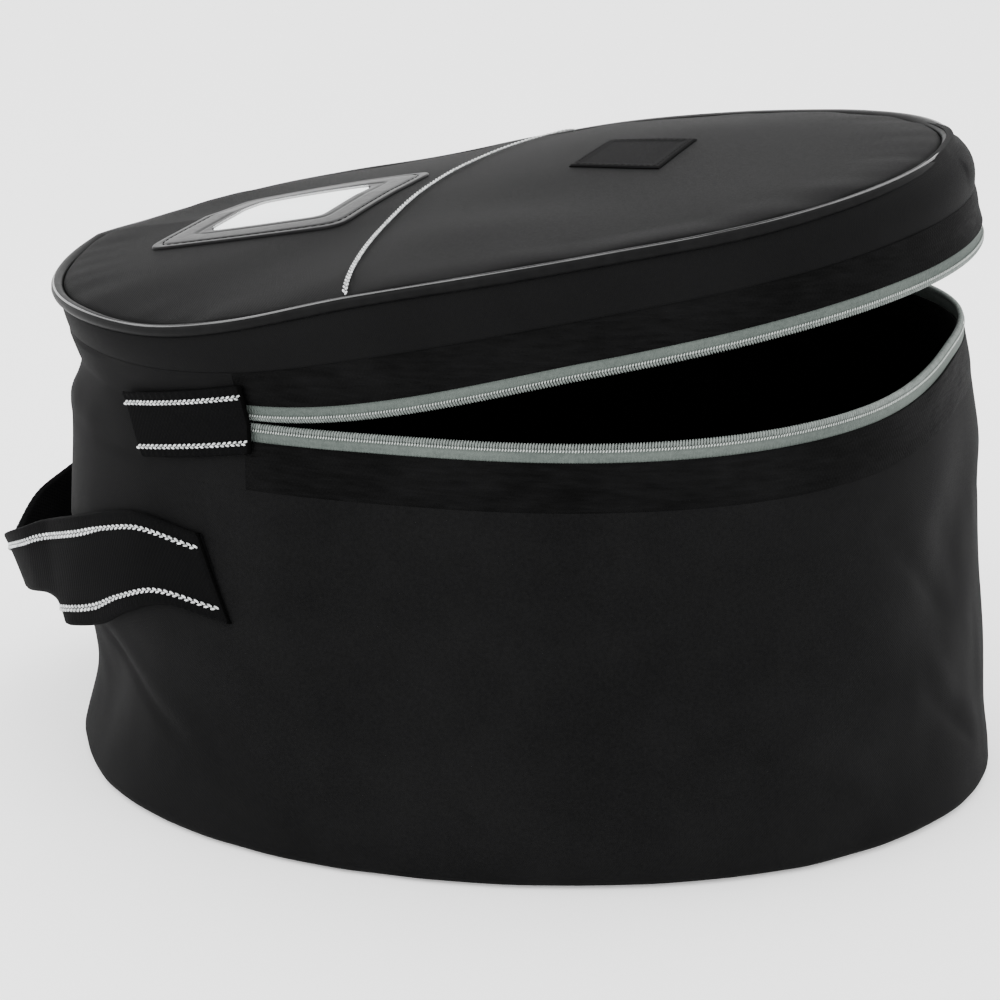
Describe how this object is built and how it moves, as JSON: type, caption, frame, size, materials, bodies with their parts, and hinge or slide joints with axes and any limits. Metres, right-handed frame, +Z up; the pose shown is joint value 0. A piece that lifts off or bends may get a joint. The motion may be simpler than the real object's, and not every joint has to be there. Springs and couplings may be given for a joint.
{
  "type": "helmet bag",
  "caption": "Oval zipped fabric bag for a riding helmet, lid propped open, with a name window and a webbing handle at the spine.",
  "frame": {"origin": "centre of the underside, on the surface the bag stands on", "axes": "+X to the nose, where the zip opens widest; -X to the spine and handle; -Y to the front; +Z up"},
  "size_m": [0.3808, 0.2749, 0.2312],
  "materials": {
    "bag_fabric": "matt woven nylon",
    "lid_fabric": "matt woven nylon",
    "band_fabric": "coarse ribbed fabric",
    "piping": "shiny coated piping",
    "zip_tape": "pale grey-green woven tape",
    "zip_coil": "pale nylon coil",
    "webbing": "black webbing with two pale stripes",
    "window_frame": "shiny soft sheet",
    "window_pane": "clear soft sheet",
    "name_card": "white card",
    "label": "fine woven patch, bare",
    "seam_trim": "pale reflective cord",
    "slider": "plain cast metal"
  },
  "bodies": {
    "root": {"body_wall": "bag_fabric", "base_panel": "bag_fabric", "spine_panel": "bag_fabric", "rim_band": "band_fabric", "lid_zip_band": "band_fabric", "lid_band": "lid_fabric", "lid_top": "lid_fabric", "lid_piping": "piping", "body_zip_tape": "zip_tape", "lid_zip_tape": "zip_tape", "body_zip_coil": "zip_coil", "lid_zip_coil": "zip_coil", "near_zip_tab": "webbing", "far_zip_tab": "webbing", "handle": "webbing", "window_frame": "window_frame", "window_pane": "window_pane", "name_card": "name_card", "label_patch": "label", "lid_seam_trim": "seam_trim", "zip_slider": "slider"}
  },
  "joints": []
}
